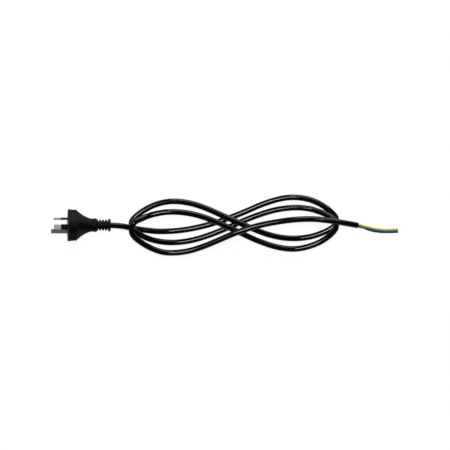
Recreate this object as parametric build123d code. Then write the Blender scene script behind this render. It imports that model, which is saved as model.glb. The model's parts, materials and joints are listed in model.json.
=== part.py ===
from build123d import *
import math
import os

# A mains power cord: a moulded plug with three flat pins, a three-core flex laid in a figure of eight,
# and a far end stripped to three short leads. Millimetres, +Z up, the surface that it lies on at Z = 0.

# Plug face: flat top, upright sides and two lower flats at 45 degrees, measured from the pin circle's centre
FACE_TOP = 16.9
FACE_SIDE = 18.2
FACE_LOWER_FLAT = 19.45
TOP_CORNER_RADIUS = 13.0
SIDE_CORNER_RADIUS = 10.0
BOTTOM_CORNER_RADIUS = 11.0

# Plug body, from the face back to the cord
FLANGE_DEPTH = 8.7
FLANGE_DRAFT = 0.97
FACE_EDGE_RADIUS = 0.7
BEAD_WIDTH = 1.4
BEAD_INSET = 0.62
BEAD_EDGE_RADIUS = 0.45
TRUMPET_LENGTH = 19.6
TRUMPET_POWER = 1.7
TRUMPET_SECTIONS = 7
TRUMPET_SPACING = 1.25
NECK_RADIUS = 7.68
NECK_ROUNDNESS = 0.94
COLLAR_RADIUS = 8.25
COLLAR_LENGTH = 6.5
COLLAR_CREST = 2.34
COLLAR_END_HEIGHT = 1.4
RIB_COUNT = 3
RIB_WIDTH = 2.25
RIB_HEIGHT = 1.6
RIB_EDGE_RADIUS = 0.45
GROOVE_WIDTH = 1.35
GROOVE_WALL = 1.27
END_FLANGE_WIDTH = 2.9
END_FLANGE_HEIGHT = 2.6
END_FLANGE_EDGE_RADIUS = 0.7

# Pins of the flat three-pin pattern
BLADE_WIDTH = 6.35
BLADE_THICKNESS = 1.63
BLADE_EDGE_RADIUS = 0.35
BLADE_LEAST_EDGE_RADIUS = 0.05
BLADE_TIP_BEVEL = 0.4
BLADE_TIP_BEVEL_LENGTH = 0.9
LIVE_PIN_LENGTH = 17.06
EARTH_PIN_LENGTH = 19.94
LIVE_PIN_CIRCLE = 7.92
LIVE_PIN_ANGLE = 60.0
EARTH_PIN_DROP = 10.31
SLEEVE_LENGTH = 8.7
SLEEVE_WALL = 0.32

# Bridge that holds the pins inside the body, and the crimp tails behind it
FACE_WALL = 2.0
CARRIER_DEPTH = 6.0
CARRIER_INSET = 6.0
CRIMP_LENGTH = 7.0
CRIMP_DIAMETER = 3.2
CRIMP_FLOOR = 1.0

# Flex: sheath, three insulated cores, copper
CORD_DIAMETER = 7.2
CORE_DIAMETER = 2.5
COPPER_DIAMETER = 1.3
CORE_GAP = 0.27
CORE_ENTRY = 6.0
CORE_STRIP_GAP = 0.3
SHEATH_IN_PLUG = 18.0
CORE_STRAIGHT = 3.5
CORE_BEND_SHARE = 0.8
FIT_CLEARANCE = 0.03
ARC_SHARE = 0.45

# Where the plug lies: rolled onto one lower flat, resting on the face edge and the bead
PLUG_X = -188.1
PLUG_Y = -0.3
PLUG_ROLL = 45.0
PLUG_EXIT_RUN = 9.5

# Route of the flex after the plug: five passes over the figure of eight, joined by tight folds at its ends
CORD_ROUTE = [
    # under the left folds and along the floor to the top of the right loop
    (-108.0, -4.4, 4.0),
    (-86.0, -7.9, 3.6),
    (-63.4, -8.4, 3.6),
    (-36.8, -4.3, 3.6),
    (-9.1, 3.0, 3.6),
    (19.9, 13.7, 3.6),
    (45.3, 25.3, 3.6),
    (68.2, 32.4, 3.6),
    (87.5, 33.7, 3.6),
    (106.2, 30.0, 3.6),
    (121.3, 21.7, 3.6),
    # first right fold
    (133.0, 11.0, 3.6),
    (134.4, 4.2, 3.6),
    (131.6, -2.2, 3.6),
    # back over the first pass to the top of the left loop
    (120.1, -9.0, 3.6),
    (103.2, -15.0, 3.6),
    (82.7, -17.2, 3.6),
    (60.9, -14.4, 4.6),
    (41.0, -7.7, 8.6),
    (24.7, -0.7, 11.4),
    (-3.0, 11.4, 11.4),
    (-25.9, 21.8, 8.4),
    (-45.2, 27.3, 5.0),
    (-64.6, 29.3, 4.6),
    (-82.6, 25.3, 8.0),
    (-97.5, 17.6, 12.8),
    # first left fold, over the stretch that comes from the plug
    (-110.3, 7.0, 14.8),
    (-112.1, -0.3, 14.8),
    (-109.1, -7.2, 14.8),
    # along the floor to the right loop, inside the first pass
    (-94.5, -16.3, 12.2),
    (-79.0, -20.6, 7.4),
    (-62.1, -21.8, 4.6),
    (-41.7, -19.5, 3.6),
    (-19.9, -13.1, 3.6),
    (4.2, -3.3, 3.6),
    (26.0, 6.6, 3.6),
    (47.7, 14.8, 3.6),
    (67.0, 19.5, 3.8),
    (86.3, 21.2, 5.0),
    (104.3, 18.9, 7.8),
    (119.8, 13.5, 10.6),
    # second right fold, over the first
    (131.2, 7.3, 11.4),
    (134.1, 0.8, 11.4),
    (132.9, -6.3, 11.4),
    # back over the middle to the left loop
    (121.0, -17.5, 9.8),
    (104.3, -25.6, 6.4),
    (85.1, -29.9, 4.4),
    (64.6, -27.8, 4.6),
    (40.4, -19.9, 8.2),
    (15.0, -7.9, 11.4),
    (-14.4, 5.6, 11.4),
    (-34.3, 12.3, 9.0),
    (-52.4, 15.6, 7.2),
    (-70.5, 16.1, 9.4),
    (-85.4, 13.2, 14.0),
    (-97.2, 8.7, 19.4),
    # second left fold, over the first
    (-108.0, 3.3, 22.5),
    (-111.5, -4.9, 22.5),
    (-109.7, -13.4, 22.5),
    # last pass, over everything, to the stripped end
    (-96.1, -24.6, 18.6),
    (-81.2, -31.5, 11.6),
    (-63.9, -34.4, 6.4),
    (-45.3, -32.4, 4.8),
    (-25.9, -26.3, 8.4),
    (-8.4, -18.9, 14.8),
    (11.4, -10.1, 19.2),
    (36.6, -1.5, 18.8),
    (60.7, 3.5, 14.0),
    (84.7, 6.5, 10.8),
    (106.3, 7.3, 13.8),
    (125.4, 5.3, 19.6),
    (142.2, 2.6, 19.2),
    (160.2, -0.5, 9.0),
]

# Routes of the three stripped leads, from just outside the sheath to their cut ends
LEAD_EXIT_RUN = 4.0
EARTH_LEAD_ROUTE = [(173.2, -2.6, 3.2), (186.5, -5.2, 1.5), (198.5, -5.6, 1.3), (209.4, -4.9, 1.3)]
NEUTRAL_LEAD_ROUTE = [(173.2, -4.5, 5.6), (183.9, -7.0, 4.1), (195.0, -7.8, 3.9), (209.2, -7.3, 3.9)]
ACTIVE_LEAD_ROUTE = [(172.4, -5.3, 1.9), (183.0, -7.8, 1.3), (195.5, -8.5, 1.3), (209.4, -7.9, 1.3)]

# Radii and places behind the face that follow from the sizes above
CORE_PITCH_RADIUS = (CORE_DIAMETER + CORE_GAP) / math.sqrt(3)
GROOVE_RADIUS = CORD_DIAMETER / 2 + FIT_CLEARANCE + GROOVE_WALL
RIB_RADIUS = GROOVE_RADIUS + RIB_HEIGHT
END_FLANGE_RADIUS = GROOVE_RADIUS + END_FLANGE_HEIGHT
COLLAR_END_RADIUS = GROOVE_RADIUS + COLLAR_END_HEIGHT
CARRIER_BACK = FACE_WALL + CARRIER_DEPTH
CRIMP_BACK = CARRIER_BACK + CRIMP_LENGTH
BEAD_START = FLANGE_DEPTH
TRUMPET_START = BEAD_START + BEAD_WIDTH
COLLAR_START = TRUMPET_START + TRUMPET_LENGTH
RIBS_START = COLLAR_START + COLLAR_LENGTH
RIB_PITCH = RIB_WIDTH + GROOVE_WIDTH
END_FLANGE_START = RIBS_START + RIB_COUNT * RIB_PITCH + GROOVE_WIDTH
BODY_LENGTH = END_FLANGE_START + END_FLANGE_WIDTH
SHEATH_START = BODY_LENGTH - SHEATH_IN_PLUG
FAN_BACK = SHEATH_START - CORE_STRAIGHT
FAN_FRONT = CRIMP_BACK + CORE_STRIP_GAP + CORE_STRAIGHT


def home_plate(inset, roundness=0.0):
    """Outline of the face, moved in by inset, or drawn towards the round neck by roundness from 0 to 1."""
    def drawn_in(distance, goal):
        return (distance - inset) * (1 - roundness) + goal * roundness

    corner_goal = NECK_RADIUS * NECK_ROUNDNESS
    top = drawn_in(FACE_TOP, NECK_RADIUS)
    side = drawn_in(FACE_SIDE, NECK_RADIUS)
    point = drawn_in(FACE_LOWER_FLAT, NECK_RADIUS) * math.sqrt(2)
    corners = [(-side, top), (side, top), (side, side - point), (0, -point), (-side, side - point)]
    radii = [
        drawn_in(radius, corner_goal)
        for radius in (
            TOP_CORNER_RADIUS,
            TOP_CORNER_RADIUS,
            SIDE_CORNER_RADIUS,
            BOTTOM_CORNER_RADIUS,
            SIDE_CORNER_RADIUS,
        )
    ]
    return make_face(FilletPolyline(*corners, radius=radii, close=True))


def cylinder_between(radius, front, back):
    """Cylinder on the plug's axis, or moved off it later, between two distances behind the face."""
    return Pos(0, 0, -back) * extrude(Circle(radius), back - front)


def moulded_outside():
    """The plug's outer form: flange, bead, trumpet, collar, ribbed strain relief and end flange."""
    face = home_plate(0)
    flange_back = Pos(0, 0, -FLANGE_DEPTH) * home_plate(FLANGE_DRAFT)
    flange = loft([face, flange_back])
    flange = fillet(flange.faces().sort_by(Axis.Z)[-1].edges(), FACE_EDGE_RADIUS)

    bead = Pos(0, 0, -TRUMPET_START) * extrude(home_plate(BEAD_INSET), BEAD_WIDTH)
    bead_ends = bead.faces().sort_by(Axis.Z)
    bead = fillet(bead_ends[0].edges() + bead_ends[-1].edges(), BEAD_EDGE_RADIUS)

    sections = []
    for index in range(TRUMPET_SECTIONS):
        along = (index / (TRUMPET_SECTIONS - 1)) ** TRUMPET_SPACING
        roundness = 1 - (1 - along) ** TRUMPET_POWER
        depth = TRUMPET_START + along * TRUMPET_LENGTH
        sections.append(Pos(0, 0, -depth) * home_plate(FLANGE_DRAFT, roundness))
    trumpet = loft(sections)

    return flange + bead + trumpet + strain_relief()


def ring(radius, start, width, edge_radius):
    """Round ring on the plug's axis with both outer edges rounded."""
    blank = cylinder_between(radius, start, start + width)
    return fillet(blank.edges().filter_by(GeomType.CIRCLE), edge_radius)


def strain_relief():
    """Collar behind the trumpet, then the grooved stretch that lets the cord bend, and its end flange."""
    collar_crest = COLLAR_START + COLLAR_CREST
    profile = make_face(
        Wire(
            [
                Line((0, -COLLAR_START), (NECK_RADIUS, -COLLAR_START)),
                ThreePointArc(
                    (NECK_RADIUS, -COLLAR_START),
                    (COLLAR_RADIUS, -collar_crest),
                    (COLLAR_END_RADIUS, -RIBS_START),
                ),
                Line((COLLAR_END_RADIUS, -RIBS_START), (0, -RIBS_START)),
                Line((0, -RIBS_START), (0, -COLLAR_START)),
            ]
        )
    )
    relief = revolve(Plane.XZ * profile, Axis.Z)
    relief += cylinder_between(GROOVE_RADIUS, RIBS_START, END_FLANGE_START)
    for index in range(RIB_COUNT):
        rib_start = RIBS_START + GROOVE_WIDTH + index * RIB_PITCH
        relief += ring(RIB_RADIUS, rib_start, RIB_WIDTH, RIB_EDGE_RADIUS)
    return relief + ring(END_FLANGE_RADIUS, END_FLANGE_START, END_FLANGE_WIDTH, END_FLANGE_EDGE_RADIUS)


def blade_section(shrink=0.0):
    """Cross-section of a pin, width along local Y, thinned all round by shrink."""
    section = Rectangle(BLADE_THICKNESS - 2 * shrink, BLADE_WIDTH - 2 * shrink)
    return fillet(section.vertices(), max(BLADE_EDGE_RADIUS - shrink, BLADE_LEAST_EDGE_RADIUS))


def prism(section, front, back):
    """Section carried between two distances behind the face."""
    return Pos(0, 0, -back) * extrude(section, back - front)


def bevelled_blade(length, back):
    """Blade from its bevelled tip back to a distance behind the face."""
    shoulder = length - BLADE_TIP_BEVEL_LENGTH
    tip = loft([Pos(0, 0, shoulder) * blade_section(), Pos(0, 0, length) * blade_section(BLADE_TIP_BEVEL)])
    return prism(blade_section(), -shoulder, back) + tip


def crimp_tail():
    """Round tail of a pin with a blind bore for the copper."""
    tail = cylinder_between(CRIMP_DIAMETER / 2, CARRIER_BACK, CRIMP_BACK)
    bore_radius = COPPER_DIAMETER / 2 + FIT_CLEARANCE
    return tail - cylinder_between(bore_radius, CARRIER_BACK + CRIMP_FLOOR, CRIMP_BACK)


def live_pin():
    """Active or neutral pin: full blade at the tip, a thinner neck under the sleeve, a crimp tail."""
    neck = prism(blade_section(SLEEVE_WALL + FIT_CLEARANCE), -SLEEVE_LENGTH, CARRIER_BACK)
    return bevelled_blade(LIVE_PIN_LENGTH, -SLEEVE_LENGTH) + neck + crimp_tail()


def earth_pin():
    """Earth pin: a plain blade with no sleeve, and a crimp tail."""
    return bevelled_blade(EARTH_PIN_LENGTH, CARRIER_BACK) + crimp_tail()


def pin_sleeve():
    """Insulation on the inner half of a live pin, flush with the blade, from the bridge outwards."""
    outside = prism(blade_section(), -SLEEVE_LENGTH, FACE_WALL)
    return outside - prism(blade_section(SLEEVE_WALL), -SLEEVE_LENGTH, FACE_WALL)


def arc_radii(points):
    """Largest tangent arc at each inner point that its two runs leave room for."""
    radii = []
    for before, corner, after in zip(points, points[1:], points[2:]):
        into = Vector(corner) - Vector(before)
        out = Vector(after) - Vector(corner)
        half_turn = math.radians(into.get_angle(out)) / 2
        radii.append(ARC_SHARE * min(into.length, out.length) / math.tan(half_turn))
    return radii


def route_path(points):
    """Straight runs through the points, joined by tangent arcs."""
    return FilletPolyline(*points, radius=arc_radii(points))


def rod(path, diameter):
    """Round rod along a path."""
    start = Plane(origin=path @ 0, z_dir=path % 0)
    return sweep(start * Circle(diameter / 2), path)


def tube(path, outside, bore):
    """Round tube along a path."""
    start = Plane(origin=path @ 0, z_dir=path % 0)
    return sweep(start * (Circle(outside / 2) - Circle(bore / 2)), path)


def core_path(direction, pin_radius, front):
    """Path of a core inside the plug, from inside the sheath to a distance behind the face, on the pin's line."""
    def at(radius, depth):
        return (direction[0] * radius, direction[1] * radius, -depth)

    half_turn = math.atan2(pin_radius - CORE_PITCH_RADIUS, FAN_BACK - FAN_FRONT) / 2
    return FilletPolyline(
        at(CORE_PITCH_RADIUS, SHEATH_START + CORE_ENTRY),
        at(CORE_PITCH_RADIUS, FAN_BACK),
        at(pin_radius, FAN_FRONT),
        at(pin_radius, front),
        radius=CORE_BEND_SHARE * CORE_STRAIGHT / math.tan(half_turn),
    )


# The three circuits: direction of the pin from the centre of the pin circle, how far out it stands,
# and the turn of its blade. Live blades lie along the pin circle, the earth blade points at its centre.
live_sine = math.sin(math.radians(LIVE_PIN_ANGLE))
live_cosine = math.cos(math.radians(LIVE_PIN_ANGLE))
CIRCUITS = {
    "active": ((live_sine, live_cosine), LIVE_PIN_CIRCLE, 90.0 - LIVE_PIN_ANGLE),
    "neutral": ((-live_sine, live_cosine), LIVE_PIN_CIRCLE, LIVE_PIN_ANGLE - 90.0),
    "earth": ((0.0, -1.0), EARTH_PIN_DROP, 0.0),
}

# The three cores at the stripped end, seen from outside: the earth and neutral cores on top, the active below
LEAD_DIRECTIONS = {
    "active": (0.0, -1.0),
    "neutral": (-live_sine, live_cosine),
    "earth": (live_sine, live_cosine),
}


def pin_place(circuit):
    """Place of a pin on the face."""
    direction, radius, turn = CIRCUITS[circuit]
    return Pos(direction[0] * radius, direction[1] * radius, 0) * Rot(0, 0, turn)


def plug_pieces():
    """Every piece of the plug, in the plug's own axes: face at Z = 0, pins towards +Z, earth pin at -Y."""
    pieces = {}
    cavity = cylinder_between(CORD_DIAMETER / 2 + FIT_CLEARANCE, SHEATH_START, BODY_LENGTH)
    throat_radius = CORE_PITCH_RADIUS + CORE_DIAMETER / 2 + FIT_CLEARANCE
    cavity += cylinder_between(throat_radius, FAN_BACK - CORE_STRAIGHT, SHEATH_START)

    carrier_outline = home_plate(CARRIER_INSET)
    carrier = prism(carrier_outline, FACE_WALL, CARRIER_BACK)
    cavity += prism(offset(carrier_outline, FIT_CLEARANCE), FACE_WALL, CARRIER_BACK)

    for circuit, (direction, radius, _) in CIRCUITS.items():
        place = pin_place(circuit)
        is_earth = circuit == "earth"
        pin = earth_pin() if is_earth else live_pin()
        pieces[circuit + "_pin"] = place * pin
        if not is_earth:
            pieces[circuit + "_pin_sleeve"] = place * pin_sleeve()
        slot_shrink = 0.0 if is_earth else SLEEVE_WALL
        carrier -= place * prism(blade_section(slot_shrink - FIT_CLEARANCE), FACE_WALL, CARRIER_BACK)
        cavity += place * prism(blade_section(-FIT_CLEARANCE), 0, FACE_WALL)

        insulation_front = CRIMP_BACK + CORE_STRIP_GAP
        copper_front = CARRIER_BACK + CRIMP_FLOOR + CORE_STRIP_GAP
        insulation_path = core_path(direction, radius, insulation_front)
        copper_path = core_path(direction, radius, copper_front)
        pieces[circuit + "_core"] = tube(
            insulation_path, CORE_DIAMETER, COPPER_DIAMETER + 2 * FIT_CLEARANCE
        )
        pieces[circuit + "_conductor"] = rod(copper_path, COPPER_DIAMETER)

        pocket_radius = CRIMP_DIAMETER / 2 + FIT_CLEARANCE
        pocket = cylinder_between(pocket_radius, CARRIER_BACK, insulation_front)
        cavity += Pos(direction[0] * radius, direction[1] * radius, 0) * pocket
        cavity += rod(insulation_path, CORE_DIAMETER + 2 * FIT_CLEARANCE)

    pieces["pin_carrier"] = carrier
    pieces["plug_body"] = moulded_outside() - cavity
    return pieces


def plug_plane(height):
    """Axes of the plug where it lies: rolled onto a lower flat, tail down by the taper of its flange."""
    tilt = math.atan2(BEAD_INSET, BEAD_START + BEAD_WIDTH / 2)
    roll = math.radians(PLUG_ROLL)
    forward = Vector(-math.cos(tilt), 0, math.sin(tilt))
    right = Vector(math.sin(tilt) * math.sin(roll), -math.cos(roll), math.cos(tilt) * math.sin(roll))
    return Plane(origin=(PLUG_X, PLUG_Y, height), x_dir=right, z_dir=forward)


def core_bores(end_plane, directions):
    """Three bores in an end of the sheath, where the cores come out along the plane's normal."""
    bores = Part()
    for direction in directions:
        centre = Pos(direction[0] * CORE_PITCH_RADIUS, direction[1] * CORE_PITCH_RADIUS, -CORE_ENTRY)
        bore = extrude(Circle(CORE_DIAMETER / 2 + FIT_CLEARANCE), CORE_ENTRY)
        bores += end_plane.location * centre * bore
    return bores


def lead_pieces(sheath_end):
    """The three stripped leads: insulation and copper, out of the sheath and down to the surface."""
    pieces = {}
    routes = {"active": ACTIVE_LEAD_ROUTE, "neutral": NEUTRAL_LEAD_ROUTE, "earth": EARTH_LEAD_ROUTE}
    for circuit, route in routes.items():
        direction = LEAD_DIRECTIONS[circuit]
        x = direction[0] * CORE_PITCH_RADIUS
        y = direction[1] * CORE_PITCH_RADIUS
        inside = sheath_end.from_local_coords((x, y, -CORE_ENTRY))
        outside = sheath_end.from_local_coords((x, y, LEAD_EXIT_RUN))
        points = [inside, outside] + [Vector(point) for point in route]
        print(circuit, "lead radii", [round(radius, 1) for radius in arc_radii(points)])
        path = route_path(points)
        pieces[circuit + "_lead"] = tube(path, CORE_DIAMETER, COPPER_DIAMETER + 2 * FIT_CLEARANCE)
        pieces[circuit + "_lead_copper"] = rod(path, COPPER_DIAMETER)
    return pieces


os.makedirs("parts", exist_ok=True)

nodes = plug_pieces()
resting_height = -(plug_plane(0).location * nodes["plug_body"]).bounding_box().min.Z
plug = plug_plane(resting_height)
for name, piece in nodes.items():
    nodes[name] = plug.location * piece

sheath_points = [
    plug.from_local_coords((0, 0, -SHEATH_START)),
    plug.from_local_coords((0, 0, -(BODY_LENGTH + PLUG_EXIT_RUN))),
] + [Vector(point) for point in CORD_ROUTE]
sheath_path = route_path(sheath_points)
sheath = rod(sheath_path, CORD_DIAMETER)
print("flex radii", [round(radius, 1) for radius in arc_radii(sheath_points)])
section_area = math.pi * CORD_DIAMETER**2 / 4
print("flex length", round(sheath_path.length, 1), "volume over section times length",
      round(sheath.volume / (section_area * sheath_path.length), 5))

plug_end = Plane(origin=sheath_points[0], x_dir=plug.x_dir, z_dir=plug.z_dir)
run_out = sheath_points[-1] - sheath_points[-2]
stripped_end = Plane(origin=sheath_points[-1], x_dir=Vector(0, 0, 1).cross(run_out), z_dir=run_out)
plug_bores = core_bores(plug_end, [direction for direction, _, _ in CIRCUITS.values()])
nodes["flex_sheath"] = sheath - plug_bores - core_bores(stripped_end, LEAD_DIRECTIONS.values())
nodes.update(lead_pieces(stripped_end))

for name, piece in nodes.items():
    export_step(piece, f"parts/{name}.step")
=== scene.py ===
import json
import math

import bmesh
import bpy
from mathutils import Matrix, Vector


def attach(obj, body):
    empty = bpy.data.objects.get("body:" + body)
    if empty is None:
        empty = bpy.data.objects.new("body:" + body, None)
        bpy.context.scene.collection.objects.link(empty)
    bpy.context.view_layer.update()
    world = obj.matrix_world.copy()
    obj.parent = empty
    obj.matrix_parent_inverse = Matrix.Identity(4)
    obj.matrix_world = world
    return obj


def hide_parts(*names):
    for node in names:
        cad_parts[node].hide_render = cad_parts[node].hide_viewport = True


# A mains power cord on a white table: a moulded three-pin plug, a black flex laid in a figure of eight,
# and a far end stripped to three coloured leads. Metres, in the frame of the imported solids.
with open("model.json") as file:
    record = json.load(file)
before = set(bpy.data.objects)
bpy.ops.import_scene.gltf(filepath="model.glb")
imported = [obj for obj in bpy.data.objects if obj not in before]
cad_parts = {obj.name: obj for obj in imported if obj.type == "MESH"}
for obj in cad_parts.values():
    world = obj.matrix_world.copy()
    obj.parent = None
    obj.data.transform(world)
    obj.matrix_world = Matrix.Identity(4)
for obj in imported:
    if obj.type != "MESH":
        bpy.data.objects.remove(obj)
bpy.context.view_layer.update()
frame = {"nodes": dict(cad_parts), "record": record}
scene = bpy.context.scene


# Flex jacket: black PVC drawn over the three laid-up cores in one long run. It starts inside the plug,
# goes along the figure of eight five times, and is cut square where the leads come out.
# The cores show through it as three very low ridges that wind slowly round the flex.
FLEX_DIAMETER = 0.0072
FLEX_ROUTE = [
    # out of the plug
    (-0.1549221, -0.0003, 0.0172369),
    (-0.1300, 0.0000, 0.0156),
    # under the left folds and along the table to the top of the right loop
    (-0.1080, -0.0045, 0.0052),
    (-0.0860, -0.0077, 0.0050),
    (-0.0700, -0.0079, 0.0036),
    (-0.0560, -0.0070, 0.0038),
    (-0.0368, -0.0042, 0.0040),
    (-0.0091, 0.0029, 0.0038),
    (0.0199, 0.0137, 0.0040),
    (0.0453, 0.0252, 0.0041),
    (0.0682, 0.0323, 0.0042),
    (0.0875, 0.0336, 0.0042),
    (0.1061, 0.0297, 0.0041),
    (0.1212, 0.0215, 0.0040),
    # first right fold
    (0.1332, 0.0110, 0.0042),
    (0.1346, 0.0042, 0.0037),
    (0.1318, -0.0022, 0.0041),
    # back over the first pass to the top of the left loop
    (0.1200, -0.0088, 0.0041),
    (0.1031, -0.0147, 0.0041),
    (0.0827, -0.0168, 0.0040),
    (0.0609, -0.0143, 0.0068),
    (0.0410, -0.0078, 0.0102),
    (0.0247, -0.0007, 0.0119),
    (-0.0030, 0.0114, 0.0121),
    (-0.0259, 0.0218, 0.0129),
    (-0.0452, 0.0272, 0.0133),
    (-0.0646, 0.0289, 0.0138),
    (-0.0826, 0.0250, 0.0144),
    (-0.0975, 0.0175, 0.0153),
    # first left fold, over the stretch that comes from the plug
    (-0.1107, 0.0071, 0.0160),
    (-0.1125, -0.0003, 0.0155),
    (-0.1095, -0.0073, 0.0146),
    # along the table to the right loop, inside the first pass
    (-0.0943, -0.0159, 0.0104),
    (-0.0789, -0.0202, 0.0058),
    (-0.0621, -0.0216, 0.0043),
    (-0.0417, -0.0194, 0.0042),
    (-0.0199, -0.0131, 0.0040),
    (0.0042, -0.0033, 0.0036),
    (0.0260, 0.0065, 0.0046),
    (0.0477, 0.0146, 0.0041),
    (0.0670, 0.0195, 0.0041),
    (0.0863, 0.0211, 0.0040),
    (0.0990, 0.0199, 0.0040),
    (0.1043, 0.0189, 0.0041),
    (0.1075, 0.0179, 0.0049),
    (0.1199, 0.0137, 0.0083),
    # second right fold, over the first
    (0.1314, 0.0073, 0.0115),
    (0.1343, 0.0008, 0.0114),
    (0.1331, -0.0063, 0.0114),
    # back over the middle to the left loop
    (0.1211, -0.0174, 0.0089),
    (0.1043, -0.0254, 0.0086),
    (0.0851, -0.0296, 0.0082),
    (0.0646, -0.0276, 0.0089),
    (0.0404, -0.0197, 0.0102),
    (0.0150, -0.0077, 0.0119),
    (-0.0144, 0.0058, 0.0122),
    (-0.0343, 0.0124, 0.0143),
    (-0.0524, 0.0155, 0.0158),
    (-0.0705, 0.0157, 0.0162),
    (-0.0854, 0.0128, 0.0162),
    (-0.0920, 0.0106, 0.0165),
    (-0.0972, 0.0085, 0.0183),
    # second left fold, over the first
    (-0.1066, 0.0045, 0.0231),
    (-0.1096, 0.0016, 0.0240),
    (-0.1123, -0.0050, 0.0225),
    (-0.1104, -0.0135, 0.0213),
    # last pass, over everything, to the stripped end
    (-0.0960, -0.0243, 0.0180),
    (-0.0812, -0.0312, 0.0154),
    (-0.0670, -0.0341, 0.0146),
    (-0.0453, -0.0323, 0.0150),
    (-0.0259, -0.0262, 0.0160),
    (-0.0084, -0.0189, 0.0178),
    (0.0114, -0.0101, 0.0199),
    (0.0366, -0.0015, 0.0200),
    (0.0607, 0.0034, 0.0197),
    (0.0847, 0.0066, 0.0192),
    (0.1063, 0.0073, 0.0189),
    (0.1254, 0.0053, 0.0190),
    (0.1422, 0.0026, 0.0188),
    (0.1592, -0.0005, 0.0090),
]
CORE_DIAMETER = 0.0025
CORE_FIT = 0.00003
CORE_PITCH_RADIUS = 0.0015993
CORE_ENTRY = 0.006
CORE_ANGLE = math.radians(60)
CORE_DIRECTIONS = {
    "active": (0.0, -1.0),
    "neutral": (-math.sin(CORE_ANGLE), math.cos(CORE_ANGLE)),
    "earth": (math.sin(CORE_ANGLE), math.cos(CORE_ANGLE)),
}
CORE_COUNT = len(CORE_DIRECTIONS)
RIDGE_HEIGHT = 0.00003
RIDGE_LAY = 0.085
JACKET_EDGE = 0.00025
JACKET_SIDES = 48
BORE_SIDES = 20
EDGE_STEPS = 3
LINE_STEPS = 14
SHARP_ANGLE = 40.0
JACKET_DARK = (0.0008, 0.0008, 0.0009)
JACKET_LIGHT = (0.0014, 0.0014, 0.0015)
JACKET_ROUGHNESS = (0.06, 0.09)
JACKET_SPECULAR = 0.2
# lines and patches that the die leaves: noise scale, and stretch round and along the flex
DIE_LINES = 9.0
DIE_LINES_STRETCH = (1.0, 1.0, 1.5)
DIE_LINES_DETAIL = 3.0
DIE_LINES_DEPTH = 0.0000004
DIE_PATCHES = 1.3
DIE_PATCHES_STRETCH = (1.0, 1.0, 60.0)
# range that most of a noise's values lie in
NOISE_LOW = 0.3
NOISE_HIGH = 0.7


def smooth_line(name, route):
    """Points along a flex, read from a NURBS spline that has its route as control points."""
    curve = bpy.data.curves.new(name, "CURVE")
    curve.dimensions = "3D"
    spline = curve.splines.new("NURBS")
    spline.points.add(len(route) - 1)
    for control, place in zip(spline.points, route):
        control.co = (*place, 1.0)
    spline.order_u = 3
    spline.use_endpoint_u = True
    spline.resolution_u = LINE_STEPS
    holder = bpy.data.objects.new(name, curve)
    wire = bpy.data.meshes.new_from_object(holder)
    line = [vertex.co.copy() for vertex in wire.vertices]
    bpy.data.meshes.remove(wire)
    bpy.data.objects.remove(holder)
    bpy.data.curves.remove(curve)
    return line


def frames_along(line, last_across):
    """Place, side and upper direction at each point of a line, turned least from its far end on."""
    frames = []
    across = Vector(last_across)
    for index in reversed(range(len(line))):
        ahead = line[min(index + 1, len(line) - 1)] - line[max(index - 1, 0)]
        ahead.normalize()
        across = (across - ahead * across.dot(ahead)).normalized()
        frames.append((line[index], across.copy(), ahead.cross(across)))
    frames.reverse()
    return frames


def distances_along(line):
    """Distance of each point of a line from its start."""
    distances = [0.0]
    for before, after in zip(line, line[1:]):
        distances.append(distances[-1] + (after - before).length)
    return distances


def add_ring(bm, drawn, place, across, upper, radii, distance):
    """Ring of points round a place, each keeping where it came out of the die as an attribute."""
    ring = []
    for index, radius in enumerate(radii):
        angle = 2 * math.pi * index / len(radii)
        vertex = bm.verts.new(place + (across * math.cos(angle) + upper * math.sin(angle)) * radius)
        vertex[drawn] = Vector((math.cos(angle), math.sin(angle), distance))
        ring.append(vertex)
    return ring


def bridge(bm, first, second):
    """Faces between two rings of the same number of points."""
    for index in range(len(first)):
        following = (index + 1) % len(first)
        bm.faces.new((first[index], first[following], second[following], second[index]))


def new_piece(name, bm, material):
    """Object made from a bmesh, smooth apart from its sharp edges."""
    bmesh.ops.recalc_face_normals(bm, faces=bm.faces)
    limit = math.radians(SHARP_ANGLE)
    for face in bm.faces:
        face.smooth = True
    for edge in bm.edges:
        edge.smooth = edge.is_manifold and edge.calc_face_angle(0.0) < limit
    mesh = bpy.data.meshes.new(name)
    bm.to_mesh(mesh)
    bm.free()
    piece = bpy.data.objects.new(name, mesh)
    scene.collection.objects.link(piece)
    piece.data.materials.append(material)
    return piece


def new_finish(name):
    """Empty node material with its shader."""
    material = bpy.data.materials.new(name)
    material.use_nodes = True
    return material, material.node_tree, material.node_tree.nodes["Principled BSDF"]


def add_node(tree, kind, **settings):
    """Node with some of its own settings."""
    node = tree.nodes.new(kind)
    for setting, value in settings.items():
        setattr(node, setting, value)
    return node


def add_noise(tree, vector, scale, detail=2.0):
    """Noise over a vector socket."""
    noise = add_node(tree, "ShaderNodeTexNoise")
    noise.inputs["Scale"].default_value = scale
    noise.inputs["Detail"].default_value = detail
    tree.links.new(vector, noise.inputs["Vector"])
    return noise.outputs["Fac"]


def add_scaled(tree, vector, scale):
    """Vector socket stretched by three factors."""
    mapping = add_node(tree, "ShaderNodeMapping")
    mapping.inputs["Scale"].default_value = scale
    tree.links.new(vector, mapping.inputs["Vector"])
    return mapping.outputs["Vector"]


def add_range(tree, value, low, high):
    """Value socket spread from its usual middle range to a low and a high end."""
    spread = add_node(tree, "ShaderNodeMapRange")
    spread.inputs["From Min"].default_value = NOISE_LOW
    spread.inputs["From Max"].default_value = NOISE_HIGH
    spread.inputs["To Min"].default_value = low
    spread.inputs["To Max"].default_value = high
    tree.links.new(value, spread.inputs["Value"])
    return spread.outputs["Result"]


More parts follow.
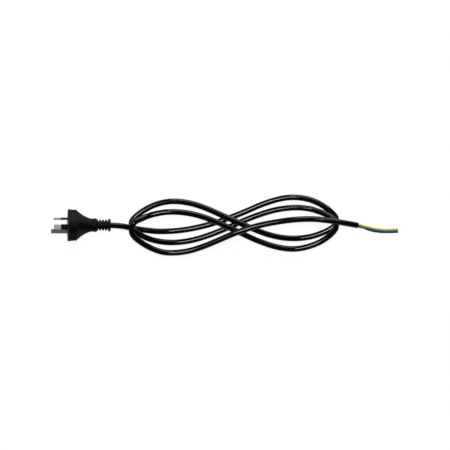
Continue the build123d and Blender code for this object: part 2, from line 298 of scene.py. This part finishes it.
def add_blend(tree, factor, first, second):
    """Colour between two colours by a value socket."""
    blend = add_node(tree, "ShaderNodeMix", data_type="RGBA")
    blend.inputs["A"].default_value = (*first, 1.0)
    blend.inputs["B"].default_value = (*second, 1.0)
    tree.links.new(factor, blend.inputs["Factor"])
    return blend.outputs["Result"]


def add_bump(tree, shader, height, depth, strength=1.0):
    """Relief of a depth in metres from a value socket."""
    bump = add_node(tree, "ShaderNodeBump")
    bump.inputs["Strength"].default_value = strength
    bump.inputs["Distance"].default_value = depth
    tree.links.new(height, bump.inputs["Height"])
    tree.links.new(bump.outputs["Normal"], shader.inputs["Normal"])


def drawn_pvc(name, dark, light, roughness, specular):
    """PVC drawn through a die: faint lines along its length, a little uneven in gloss and colour."""
    material, tree, shader = new_finish(name)
    drawn = add_node(tree, "ShaderNodeAttribute", attribute_name="drawn").outputs["Vector"]
    lines = add_noise(tree, add_scaled(tree, drawn, DIE_LINES_STRETCH), DIE_LINES, DIE_LINES_DETAIL)
    patches = add_noise(tree, add_scaled(tree, drawn, DIE_PATCHES_STRETCH), DIE_PATCHES)
    tree.links.new(add_blend(tree, patches, dark, light), shader.inputs["Base Color"])
    tree.links.new(add_range(tree, patches, *roughness), shader.inputs["Roughness"])
    shader.inputs["Specular IOR Level"].default_value = specular
    add_bump(tree, shader, lines, DIE_LINES_DEPTH)
    return material


flex_line = smooth_line("flex_route", FLEX_ROUTE)
flex_run_out = (Vector(FLEX_ROUTE[-1]) - Vector(FLEX_ROUTE[-2])).normalized()
flex_across = Vector((0, 0, 1)).cross(flex_run_out).normalized()
flex_frames = frames_along(flex_line, flex_across)
flex_distances = distances_along(flex_line)

jacket = bmesh.new()
jacket_drawn = jacket.verts.layers.float_vector.new("drawn")
flex_radius = FLEX_DIAMETER / 2
jacket_rings = []
for (place, across, upper), distance in zip(flex_frames, flex_distances):
    radii = []
    for side in range(JACKET_SIDES):
        round_flex = 2 * math.pi * side / JACKET_SIDES
        laid = 2 * math.pi * distance / RIDGE_LAY
        ridge = math.cos(CORE_COUNT * (round_flex - laid))
        radii.append(flex_radius + RIDGE_HEIGHT * (ridge - 1) / 2)
    jacket_rings.append(add_ring(jacket, jacket_drawn, place, across, upper, radii, distance))

# the last ring moves back to make room for the rounded edge of the cut
end_place, end_across, end_upper = flex_frames[-1]
for vertex in jacket_rings[-1]:
    vertex.co -= flex_run_out * JACKET_EDGE
for step in range(1, EDGE_STEPS + 1):
    turn = math.pi / 2 * step / EDGE_STEPS
    place = end_place - flex_run_out * JACKET_EDGE * (1 - math.sin(turn))
    radii = [flex_radius - JACKET_EDGE * (1 - math.cos(turn))] * JACKET_SIDES
    jacket_rings.append(
        add_ring(jacket, jacket_drawn, place, end_across, end_upper, radii, flex_distances[-1])
    )
for first, second in zip(jacket_rings, jacket_rings[1:]):
    bridge(jacket, first, second)
jacket.faces.new(jacket_rings[0])

# cut face of the jacket, with the bores that the cores come out of
cut_rims = [jacket_rings[-1]]
for direction in CORE_DIRECTIONS.values():
    centre = end_place + (end_across * direction[0] + end_upper * direction[1]) * CORE_PITCH_RADIUS
    bore_radii = [CORE_DIAMETER / 2 + CORE_FIT] * BORE_SIDES
    rim = add_ring(jacket, jacket_drawn, centre, end_across, end_upper, bore_radii, flex_distances[-1])
    bottom_centre = centre - flex_run_out * CORE_ENTRY
    bottom = add_ring(
        jacket, jacket_drawn, bottom_centre, end_across, end_upper, bore_radii, flex_distances[-1]
    )
    bridge(jacket, rim, bottom)
    jacket.faces.new(bottom)
    cut_rims.append(rim)
cut_edges = []
for rim in cut_rims:
    for index in range(len(rim)):
        ends = (rim[index], rim[(index + 1) % len(rim)])
        cut_edges.append(jacket.edges.get(ends) or jacket.edges.new(ends))
bmesh.ops.triangle_fill(jacket, edges=cut_edges, use_beauty=True, normal=flex_run_out)

jacket_black = drawn_pvc(
    "flex_jacket_black", JACKET_DARK, JACKET_LIGHT, JACKET_ROUGHNESS, JACKET_SPECULAR
)
flex_jacket = new_piece("flex_jacket", jacket, jacket_black)
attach(flex_jacket, "root")
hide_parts("flex_sheath")


# Stripped leads: the three cores where the jacket is cut away, PVC over stranded copper, coloured brown,
# blue, and yellow with a green stripe. They bend down to the table side by side and are cut flush.
COPPER_DIAMETER = 0.0013
LEAD_EXIT_RUN = 0.004
LEAD_BORE_DEPTH = 0.006
LEAD_SIDES = 24
LEAD_ROUTES = {
    "earth": [
        (0.1732, -0.0026, 0.0032),
        (0.1865, -0.0052, 0.0015),
        (0.1985, -0.0056, 0.0013),
        (0.2083, -0.0049, 0.0013),
    ],
    "neutral": [
        (0.1732, -0.0045, 0.0056),
        (0.1839, -0.0070, 0.0041),
        (0.1950, -0.0078, 0.0039),
        (0.2082, -0.0073, 0.0039),
    ],
    "active": [
        (0.1724, -0.0060, 0.0019),
        (0.1830, -0.0083, 0.0013),
        (0.1955, -0.0090, 0.0013),
        (0.2083, -0.0084, 0.0013),
    ],
}
BLUE_DARK = (0.008, 0.09, 0.24)
BLUE_LIGHT = (0.013, 0.11, 0.29)
BROWN_DARK = (0.045, 0.016, 0.007)
BROWN_LIGHT = (0.075, 0.028, 0.013)
YELLOW_DARK = (0.78, 0.58, 0.012)
YELLOW_LIGHT = (0.88, 0.68, 0.022)
GREEN = (0.02, 0.17, 0.04)
LEAD_ROUGHNESS = (0.45, 0.55)
LEAD_SPECULAR = 0.1
# the green stripe faces the table, between these angles round the lead, in turns
STRIPE_START = 0.56
STRIPE_END = 0.94


def lead_points(circuit):
    """Route of a lead: out of its bore in the jacket, then down to the table."""
    direction = CORE_DIRECTIONS[circuit]
    bore = end_place + (end_across * direction[0] + end_upper * direction[1]) * CORE_PITCH_RADIUS
    inside = bore - flex_run_out * CORE_ENTRY
    outside = bore + flex_run_out * LEAD_EXIT_RUN
    return [inside, outside] + [Vector(point) for point in LEAD_ROUTES[circuit]]


def lead_insulation(line):
    """Tube of insulation, closed round the copper some way back from its cut end."""
    bm = bmesh.new()
    drawn = bm.verts.layers.float_vector.new("drawn")
    frames = frames_along(line, Vector((0, 1, 0)))
    distances = distances_along(line)
    outer = CORE_DIAMETER / 2
    bore = COPPER_DIAMETER / 2 + CORE_FIT
    rings = []
    for (place, across, upper), distance in zip(frames, distances):
        rings.append(add_ring(bm, drawn, place, across, upper, [outer] * LEAD_SIDES, distance))
    bore_start = distances[-1] - LEAD_BORE_DEPTH
    for (place, across, upper), distance in reversed(list(zip(frames, distances))):
        if distance >= bore_start:
            rings.append(add_ring(bm, drawn, place, across, upper, [bore] * LEAD_SIDES, distance))
    for first, second in zip(rings, rings[1:]):
        bridge(bm, first, second)
    bm.faces.new(rings[0])
    bm.faces.new(rings[-1])
    return bm


def striped_pvc(name):
    """Yellow PVC with a green stripe drawn into it."""
    material = drawn_pvc(name, YELLOW_DARK, YELLOW_LIGHT, LEAD_ROUGHNESS, LEAD_SPECULAR)
    tree = material.node_tree
    shader = tree.nodes["Principled BSDF"]
    yellow = shader.inputs["Base Color"].links[0].from_socket
    drawn = add_node(tree, "ShaderNodeAttribute", attribute_name="drawn").outputs["Vector"]
    parts = add_node(tree, "ShaderNodeSeparateXYZ")
    tree.links.new(drawn, parts.inputs["Vector"])
    angle = add_node(tree, "ShaderNodeMath", operation="ARCTAN2")
    tree.links.new(parts.outputs["Y"], angle.inputs[0])
    tree.links.new(parts.outputs["X"], angle.inputs[1])
    turns = add_node(tree, "ShaderNodeMath", operation="DIVIDE")
    turns.inputs[1].default_value = 2 * math.pi
    tree.links.new(angle.outputs["Value"], turns.inputs[0])
    turn = add_node(tree, "ShaderNodeMath", operation="FRACT")
    tree.links.new(turns.outputs["Value"], turn.inputs[0])
    after_start = add_node(tree, "ShaderNodeMath", operation="GREATER_THAN")
    after_start.inputs[1].default_value = STRIPE_START
    tree.links.new(turn.outputs["Value"], after_start.inputs[0])
    before_end = add_node(tree, "ShaderNodeMath", operation="LESS_THAN")
    before_end.inputs[1].default_value = STRIPE_END
    tree.links.new(turn.outputs["Value"], before_end.inputs[0])
    stripe = add_node(tree, "ShaderNodeMath", operation="MULTIPLY")
    tree.links.new(after_start.outputs["Value"], stripe.inputs[0])
    tree.links.new(before_end.outputs["Value"], stripe.inputs[1])
    two_colours = add_node(tree, "ShaderNodeMix", data_type="RGBA")
    two_colours.inputs["B"].default_value = (*GREEN, 1.0)
    tree.links.new(yellow, two_colours.inputs["A"])
    tree.links.new(stripe.outputs["Value"], two_colours.inputs["Factor"])
    tree.links.new(two_colours.outputs["Result"], shader.inputs["Base Color"])
    return material


lead_finishes = {
    "earth": (striped_pvc("insulation_green_yellow"), "insulation_green_yellow"),
    "neutral": (
        drawn_pvc("insulation_blue", BLUE_DARK, BLUE_LIGHT, LEAD_ROUGHNESS, LEAD_SPECULAR),
        "insulation_blue",
    ),
    "active": (
        drawn_pvc("insulation_brown", BROWN_DARK, BROWN_LIGHT, LEAD_ROUGHNESS, LEAD_SPECULAR),
        "insulation_brown",
    ),
}
lead_lines = {}
for circuit in LEAD_ROUTES:
    material, slot = lead_finishes[circuit]
    lead_lines[circuit] = smooth_line(circuit + "_lead_route", lead_points(circuit))
    lead = new_piece(circuit + "_insulation", lead_insulation(lead_lines[circuit]), material)
    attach(lead, "root")
    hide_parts(circuit + "_lead")


# Copper of the leads: nineteen bare strands to a core, twisted together and cut flush with the insulation.
# They show at the cut ends only.
STRAND_DIAMETER = 0.000252
STRAND_PITCH = 0.000258
STRAND_LAY = 0.016
STRAND_SIDES = 8
STRAND_ROWS = 2
COPPER_DARK = (0.62, 0.27, 0.14)
COPPER_LIGHT = (0.78, 0.4, 0.24)
STRAND_ROUGHNESS = (0.25, 0.4)
STRAND_LINES = 3.0
STRAND_LINES_DEPTH = 0.000002
STRAND_STRETCH = (1.0, 1.0, 40.0)
METAL_LINES_DETAIL = 4.0


def strand_places():
    """Places of the strands across the bundle: one in the middle, six round it, twelve round those."""
    places = []
    for row in range(-STRAND_ROWS, STRAND_ROWS + 1):
        for column in range(-STRAND_ROWS, STRAND_ROWS + 1):
            if abs(row + column) <= STRAND_ROWS:
                place = Vector((column + row / 2, row * math.sqrt(3) / 2, 0))
                places.append(place * STRAND_PITCH)
    return places


def copper_strands(line):
    """Bundle of twisted strands along a lead."""
    bm = bmesh.new()
    drawn = bm.verts.layers.float_vector.new("drawn")
    frames = frames_along(line, Vector((0, 1, 0)))
    distances = distances_along(line)
    for offset in strand_places():
        rings = []
        for (place, across, upper), distance in zip(frames, distances):
            turned = Matrix.Rotation(2 * math.pi * distance / STRAND_LAY, 3, "Z") @ offset
            centre = place + across * turned.x + upper * turned.y
            radii = [STRAND_DIAMETER / 2] * STRAND_SIDES
            rings.append(add_ring(bm, drawn, centre, across, upper, radii, distance))
        for first, second in zip(rings, rings[1:]):
            bridge(bm, first, second)
        bm.faces.new(rings[0])
        bm.faces.new(rings[-1])
    return bm


def bright_metal(name, dark, light, roughness, vector_of, scale, depth, metallic=1.0):
    """Drawn or brushed metal: fine lines one way, and a little tarnish."""
    material, tree, shader = new_finish(name)
    vector = vector_of(tree)
    lines = add_noise(tree, vector, scale, METAL_LINES_DETAIL)
    tree.links.new(add_blend(tree, lines, dark, light), shader.inputs["Base Color"])
    tree.links.new(add_range(tree, lines, *roughness), shader.inputs["Roughness"])
    shader.inputs["Metallic"].default_value = metallic
    add_bump(tree, shader, lines, depth)
    return material


def drawn_vector(tree):
    """Where each point of a drawn strand came out of its die, stretched along its length."""
    drawn = add_node(tree, "ShaderNodeAttribute", attribute_name="drawn").outputs["Vector"]
    return add_scaled(tree, drawn, STRAND_STRETCH)


copper = bright_metal(
    "copper_strand",
    COPPER_DARK,
    COPPER_LIGHT,
    STRAND_ROUGHNESS,
    drawn_vector,
    STRAND_LINES,
    STRAND_LINES_DEPTH,
)
for circuit, line in lead_lines.items():
    strands = new_piece(circuit + "_strands", copper_strands(line), copper)
    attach(strands, "root")
    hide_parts(circuit + "_lead_copper")


# Pins: three flat blades stamped from brass and plated with nickel, held by a moulded bridge.
# The two live blades have a black insulating sleeve on their inner half.
PLUG_ROLL = 45.0
# each pin's plating, with painted light and shade: the same nickel made lighter and less of a mirror on the
# active pin, darker on the neutral pin and darker still on the earth pin; its dark and light tone, and how
# much of a mirror it is
PIN_PAINTED_SHADE_FINISHES = {
    "active": ((0.52, 0.51, 0.49), (0.62, 0.61, 0.585), 0.4),
    "neutral": ((0.24, 0.236, 0.226), (0.32, 0.315, 0.3), 1.0),
    "earth": ((0.18, 0.177, 0.17), (0.25, 0.246, 0.236), 1.0),
}
PIN_ROUGHNESS = (0.4, 0.52)
BRUSH_LINES = 6000.0
BRUSH_LINES_DEPTH = 0.000006
BRUSH_STRETCH = (1.0, 1.0, 0.06)
# each moulding: its dark and light tone, roughness, specular level, grain and grain depth
SLEEVE_FINISH = ((0.001, 0.001, 0.001), (0.002, 0.002, 0.002), (0.4, 0.5), 0.15, 5000.0, 0.00001)
CARRIER_FINISH = ((0.21, 0.21, 0.22), (0.27, 0.27, 0.28), (0.5, 0.6), 0.4, 4000.0, 0.00002)
MOULD_PATCHES = 220.0
plug_mount = next(mount for mount in frame["record"]["mounts"] if mount["name"] == "plug_face")
plug_face = Vector(plug_mount["pos_m"])
plug_forward = Vector(plug_mount["axis"])
plug_level = Vector((0, -1, 0))
plug_right = (
    plug_level * math.cos(math.radians(PLUG_ROLL))
    + plug_forward.cross(plug_level) * math.sin(math.radians(PLUG_ROLL))
)
plug_up = plug_forward.cross(plug_right)
plug_turn = Matrix((plug_right, plug_up, plug_forward)).transposed().to_euler()


def plug_axes(tree):
    """Coordinates in the plug's own axes: metres from the centre of its face, pins towards +Z."""
    place = add_node(tree, "ShaderNodeTexCoord").outputs["Object"]
    axes = add_node(tree, "ShaderNodeMapping", vector_type="TEXTURE")
    axes.inputs["Location"].default_value = plug_face
    axes.inputs["Rotation"].default_value = plug_turn
    tree.links.new(place, axes.inputs["Vector"])
    return axes.outputs["Vector"]


def brushed_vector(tree):
    """Coordinates of the plug, stretched along the blades."""
    return add_scaled(tree, plug_axes(tree), BRUSH_STRETCH)


def moulded_plastic(name, dark, light, roughness, specular, grain, depth):
    """Moulded plastic with the fine grain of its mould."""
    material, tree, shader = new_finish(name)
    axes = plug_axes(tree)
    patches = add_noise(tree, axes, MOULD_PATCHES)
    tree.links.new(add_blend(tree, patches, dark, light), shader.inputs["Base Color"])
    tree.links.new(add_range(tree, patches, *roughness), shader.inputs["Roughness"])
    shader.inputs["Specular IOR Level"].default_value = specular
    add_bump(tree, shader, add_noise(tree, axes, grain), depth)
    return material


def finish_node(node, material):
    """Finish of a solid that is shown as it is."""
    frame["nodes"][node].data.materials.clear()
    frame["nodes"][node].data.materials.append(material)


sleeve_black = moulded_plastic("sleeve_black", *SLEEVE_FINISH)
carrier_grey = moulded_plastic("carrier_grey", *CARRIER_FINISH)
# each pin gets its own copy of the nickel with painted shade: lighter on the active pin, darker on the
# neutral pin, darkest on the earth pin
for circuit, (dark, light, metallic) in PIN_PAINTED_SHADE_FINISHES.items():
    nickel = bright_metal(
        circuit + "_pin_nickel_painted_shade",
        dark,
        light,
        PIN_ROUGHNESS,
        brushed_vector,
        BRUSH_LINES,
        BRUSH_LINES_DEPTH,
        metallic,
    )
    finish_node(circuit + "_pin", nickel)
for circuit in ("active", "neutral"):
    finish_node(circuit + "_pin_sleeve", sleeve_black)
finish_node("pin_carrier", carrier_grey)


# Cores inside the plug: the same three insulated cores, fanned out from the jacket to the crimped tails of
# the pins, with their copper. The moulding hides them.
CORE_COLOURS = {
    "active": (BROWN_DARK, BROWN_LIGHT),
    "neutral": (BLUE_DARK, BLUE_LIGHT),
    "earth": (YELLOW_DARK, YELLOW_LIGHT),
}
# the insulation's roughness, specular level, grain and grain depth
CORE_FINISH = ((0.3, 0.4), 0.4, 3000.0, 0.000006)
CRIMP_ROUGHNESS = (0.3, 0.45)
CRIMP_LINES = 4000.0
CRIMP_LINES_DEPTH = 0.000004

crimped_copper = bright_metal(
    "crimped_copper",
    COPPER_DARK,
    COPPER_LIGHT,
    CRIMP_ROUGHNESS,
    plug_axes,
    CRIMP_LINES,
    CRIMP_LINES_DEPTH,
)
for circuit, (dark, light) in CORE_COLOURS.items():
    core_pvc = moulded_plastic(circuit + "_core_pvc", dark, light, *CORE_FINISH)
    finish_node(circuit + "_core", core_pvc)
    finish_node(circuit + "_conductor", crimped_copper)


# Plug body: soft black PVC moulded over the pins, the bridge and the end of the flex in one shot.
# Its grip has the fine grain of a spark-eroded mould; the grooved strain relief came out a little smoother.
BODY_DARK = (0.0012, 0.0012, 0.0013)
BODY_LIGHT = (0.002, 0.002, 0.0021)
BODY_PATCHES = 180.0
BODY_PATCHES_DETAIL = 3.0
BODY_SPECULAR = 0.08
BODY_GRAIN = 3200.0
BODY_GRAIN_DEPTH = 0.00003
BODY_GRAIN_STRENGTH = 0.5
GRIP_ROUGHNESS = 0.55
RELIEF_ROUGHNESS = 0.42
RELIEF_START = -0.036
RELIEF_BLEND = 0.0005

body_black, tree, shader = new_finish("plug_black")
axes = plug_axes(tree)
patches = add_noise(tree, axes, BODY_PATCHES, BODY_PATCHES_DETAIL)
tree.links.new(add_blend(tree, patches, BODY_DARK, BODY_LIGHT), shader.inputs["Base Color"])
parts = add_node(tree, "ShaderNodeSeparateXYZ")
tree.links.new(axes, parts.inputs["Vector"])
gloss = add_node(tree, "ShaderNodeMapRange")
gloss.inputs["From Min"].default_value = RELIEF_START - RELIEF_BLEND
gloss.inputs["From Max"].default_value = RELIEF_START + RELIEF_BLEND
gloss.inputs["To Min"].default_value = RELIEF_ROUGHNESS
gloss.inputs["To Max"].default_value = GRIP_ROUGHNESS
tree.links.new(parts.outputs["Z"], gloss.inputs["Value"])
tree.links.new(gloss.outputs["Result"], shader.inputs["Roughness"])
shader.inputs["Specular IOR Level"].default_value = BODY_SPECULAR
grain = add_noise(tree, axes, BODY_GRAIN)
add_bump(tree, shader, grain, BODY_GRAIN_DEPTH, BODY_GRAIN_STRENGTH)
finish_node("plug_body", body_black)


# Table: a plain sheet of white paper that the cord lies on. It is white all over from the camera and in
# the gloss of the cord, with only a faint shadow under the cord.
TABLE_SIZE = 24.0
TABLE_PAPER = (0.8, 0.8, 0.8)
TABLE_SHADE = (0.1, 0.1, 0.1)
TABLE_GLOW = 0.93

half = TABLE_SIZE / 2
table_mesh = bpy.data.meshes.new("table")
table_mesh.from_pydata(
    [(-half, -half, 0), (half, -half, 0), (half, half, 0), (-half, half, 0)], [], [(0, 1, 2, 3)]
)
table = bpy.data.objects.new("table", table_mesh)
scene.collection.objects.link(table)
table_white, tree, shader = new_finish("table_white")
tree.nodes.remove(shader)
light_path = add_node(tree, "ShaderNodeLightPath")
camera_or_gloss = add_node(tree, "ShaderNodeMath", operation="MAXIMUM")
tree.links.new(light_path.outputs["Is Camera Ray"], camera_or_gloss.inputs[0])
tree.links.new(light_path.outputs["Is Glossy Ray"], camera_or_gloss.inputs[1])
seen = add_node(tree, "ShaderNodeMath", operation="MAXIMUM")
tree.links.new(camera_or_gloss.outputs["Value"], seen.inputs[0])
tree.links.new(light_path.outputs["Is Transmission Ray"], seen.inputs[1])
paper = add_node(tree, "ShaderNodeBsdfDiffuse")
paper.inputs["Color"].default_value = (*TABLE_PAPER, 1.0)
shade = add_node(tree, "ShaderNodeBsdfDiffuse")
shade.inputs["Color"].default_value = (*TABLE_SHADE, 1.0)
glow = add_node(tree, "ShaderNodeEmission")
glow.inputs["Strength"].default_value = TABLE_GLOW
white = add_node(tree, "ShaderNodeAddShader")
tree.links.new(shade.outputs["BSDF"], white.inputs[0])
tree.links.new(glow.outputs["Emission"], white.inputs[1])
choice = add_node(tree, "ShaderNodeMixShader")
tree.links.new(seen.outputs["Value"], choice.inputs["Fac"])
tree.links.new(paper.outputs["BSDF"], choice.inputs[1])
tree.links.new(white.outputs["Shader"], choice.inputs[2])
tree.links.new(choice.outputs["Shader"], tree.nodes["Material Output"].inputs["Surface"])
table.data.materials.append(table_white)


# Studio light: a stepped row of soft boxes almost overhead on the plug's side, two low panels beyond the
# far side of the cord, and weak light from all round. The boxes give the streaks along the flex.
SURROUND = 0.1
OVERHEAD_HEIGHT = 9.0
# each box: its edges along X, its edges along Y, and its brightness
OVERHEAD_BOXES = [
    ((-0.36, 0.18), (0.18, 2.25), 33.0),
    ((-0.9, -0.36), (0.72, 2.9), 33.0),
    ((-1.44, -0.9), (1.44, 3.4), 33.0),
    ((-2.16, -1.44), (2.16, 3.8), 29.0),
    ((-3.6, -2.16), (1.0, 3.6), 8.0),
]
FAR_DISTANCE = 6.0
FAR_HEIGHT = 4.1
# each far panel: its edges along X and its brightness
FAR_PANELS = [((-0.25, 2.95), 7.4), ((2.95, 4.6), 3.5)]


def add_panel(name, centre, aim, size, brightness):
    """Soft box of a size and brightness, aimed at a point."""
    lamp = bpy.data.lights.new(name, "AREA")
    lamp.shape = "RECTANGLE"
    lamp.size, lamp.size_y = size
    lamp.energy = math.pi * brightness * size[0] * size[1]
    panel = bpy.data.objects.new(name, lamp)
    panel.location = centre
    panel.rotation_euler = (Vector(aim) - Vector(centre)).to_track_quat("-Z", "Y").to_euler()
    panel.visible_camera = False
    scene.collection.objects.link(panel)


for along_x, along_y, brightness in OVERHEAD_BOXES:
    centre = (sum(along_x) / 2, sum(along_y) / 2, OVERHEAD_HEIGHT)
    below = (centre[0], centre[1], 0.0)
    size = (along_x[1] - along_x[0], along_y[1] - along_y[0])
    add_panel("overhead_box", centre, below, size, brightness)
for along_x, brightness in FAR_PANELS:
    centre = (sum(along_x) / 2, FAR_DISTANCE, FAR_HEIGHT / 2)
    facing = (centre[0], 0.0, centre[2])
    add_panel("far_panel", centre, facing, (along_x[1] - along_x[0], FAR_HEIGHT), brightness)

world = bpy.data.worlds.new("studio")
world.use_nodes = True
world.node_tree.nodes["Background"].inputs["Color"].default_value = (1.0, 1.0, 1.0, 1.0)
world.node_tree.nodes["Background"].inputs["Strength"].default_value = SURROUND
scene.world = world


# Camera: straight above the cord, far off with a long lens, so that the high and the low strands show
# at almost the same size.
CAMERA_PLACE = (0.00042, -0.00012, 13.0194)
CAMERA_LENS = 866.67
CAMERA_SENSOR = 36.0

camera_data = bpy.data.cameras.new("camera")
camera_data.lens = CAMERA_LENS
camera_data.sensor_width = CAMERA_SENSOR
camera = bpy.data.objects.new("camera", camera_data)
camera.location = CAMERA_PLACE
scene.collection.objects.link(camera)
scene.camera = camera
scene.view_settings.view_transform = "Standard"
